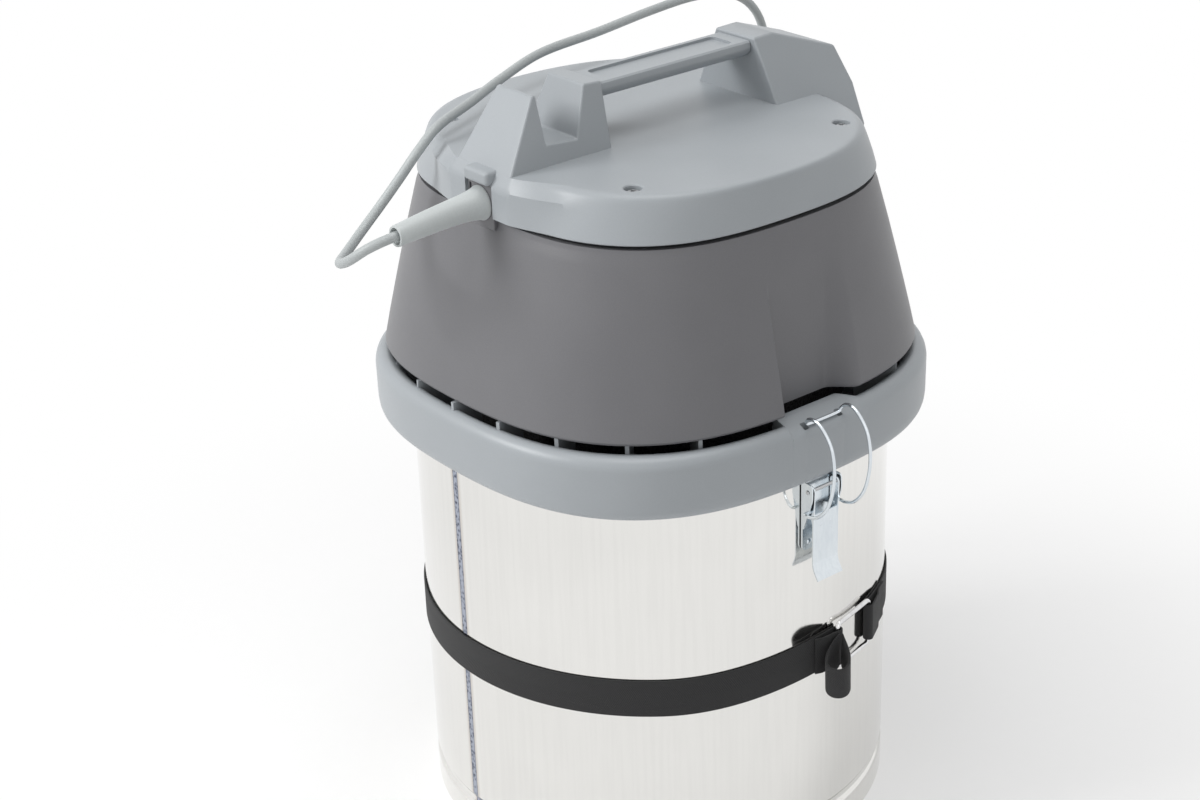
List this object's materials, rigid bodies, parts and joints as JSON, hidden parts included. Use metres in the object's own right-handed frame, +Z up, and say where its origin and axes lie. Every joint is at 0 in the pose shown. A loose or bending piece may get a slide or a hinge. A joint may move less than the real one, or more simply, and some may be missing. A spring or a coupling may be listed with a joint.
{
  "type": "shop vacuum",
  "caption": "Wet-and-dry shop vacuum: round stainless tank, tapering motor head with lift handle and vent ring, over-centre side latches, tank strap and free mains cord with plug.",
  "frame": {"origin": "on the floor under the middle of the tank", "axes": "+Z up; -Y is the side where the cord leaves the lid, +Y the hose inlet side; the latches sit at +X and -X"},
  "size_m": [0.5065, 0.5554, 0.6169],
  "materials": {
    "stainless": "polished stainless sheet",
    "zinc_plate": "bright zinc plate",
    "chrome_wire": "polished wire",
    "light_grey_plastic": "fine satin moulding",
    "dark_grey_plastic": "satin moulding",
    "black_plastic": "matte moulding",
    "rubber": "matte",
    "foam": "open foam",
    "webbing": "woven elastic webbing",
    "cord_grey": "smooth sheath",
    "machined_steel": "machined",
    "filter_cloth": "pleated filter paper",
    "copper": "wound copper"
  },
  "bodies": {
    "container": {"tank_shell": "stainless", "tank_floor": "stainless", "inlet_port": "black_plastic", "inlet_gasket": "rubber", "inlet_deflector": "black_plastic", "strap_webbing": "webbing", "strap_tail": "webbing", "strap_bail": "chrome_wire", "latch_base_right": "zinc_plate", "latch_base_left": "zinc_plate", "latch_pin_right": "machined_steel", "latch_pin_left": "machined_steel", "cord_coil": "cord_grey", "plug_body": "cord_grey", "plug_pin_left": "machined_steel", "plug_pin_right": "machined_steel"},
    "lever_right": {"latch_lever_right": "zinc_plate"},
    "lever_left": {"latch_lever_left": "zinc_plate"},
    "wire_right": {"latch_wire_right": "zinc_plate"},
    "wire_left": {"latch_wire_left": "zinc_plate"},
    "head": {"head_ring": "light_grey_plastic", "rim_gasket": "rubber", "exhaust_foam": "foam", "motor_housing": "dark_grey_plastic", "lid": "light_grey_plastic", "handle_grip": "light_grey_plastic", "lid_screw_1": "machined_steel", "lid_screw_2": "machined_steel", "lid_screw_3": "machined_steel", "lid_screw_4": "machined_steel", "strain_relief": "cord_grey", "switch_bezel": "black_plastic", "fan_casing": "stainless", "motor_gasket": "rubber", "motor_can": "machined_steel", "motor_bracket": "black_plastic", "bearing_lower": "machined_steel", "bearing_upper": "machined_steel", "carbon_brush_left": "black_plastic", "carbon_brush_right": "black_plastic", "filter_plate": "black_plastic", "filter_cage": "black_plastic", "filter_cartridge": "filter_cloth", "filter_cap": "black_plastic", "cord_tube": "cord_grey"},
    "rotor": {"rotor_shaft": "machined_steel", "impeller": "stainless", "armature": "copper", "commutator": "copper"},
    "float": {"float_ball": "light_grey_plastic"},
    "rocker": {"switch_rocker": "black_plastic"}
  },
  "joints": [
    {"name": "head_lift", "type": "slide", "parent": "container", "child": "head", "axis": [0, 0, 1], "range_m": [0, 0.24]},
    {"name": "latch_lever_right_pivot", "type": "hinge", "parent": "container", "child": "lever_right", "pos_m": [0.1973, 0, 0.3267], "axis": [0, -1, 0], "range_deg": [0, 100]},
    {"name": "latch_wire_right_pivot", "type": "hinge", "parent": "lever_right", "child": "wire_right", "pos_m": [0.1962, 0, 0.3088], "axis": [0, 1, 0], "range_deg": [0, 160]},
    {"name": "latch_lever_left_pivot", "type": "hinge", "parent": "container", "child": "lever_left", "pos_m": [-0.1973, 0, 0.3267], "axis": [0, 1, 0], "range_deg": [0, 100]},
    {"name": "latch_wire_left_pivot", "type": "hinge", "parent": "lever_left", "child": "wire_left", "pos_m": [-0.1962, 0, 0.3088], "axis": [0, -1, 0], "range_deg": [0, 160]},
    {"name": "rotor_spin", "type": "hinge", "parent": "head", "child": "rotor", "pos_m": [0, 0, 0.4], "axis": [0, 0, 1], "continuous": true},
    {"name": "float_rise", "type": "slide", "parent": "head", "child": "float", "axis": [0, 0, 1], "range_m": [0, 0.103]},
    {"name": "rocker_press", "type": "hinge", "parent": "head", "child": "rocker", "pos_m": [0, 0.1715, 0.5785], "axis": [1, 0, 0], "range_deg": [0, 12]}
  ],
  "couplings": [
    {"joint": "latch_lever_right_pivot", "follows": "head_lift", "rad_per_m": 7.2722},
    {"joint": "latch_wire_right_pivot", "follows": "head_lift", "rad_per_m": 11.636},
    {"joint": "latch_lever_left_pivot", "follows": "head_lift", "rad_per_m": 7.2722},
    {"joint": "latch_wire_left_pivot", "follows": "head_lift", "rad_per_m": 11.636}
  ]
}
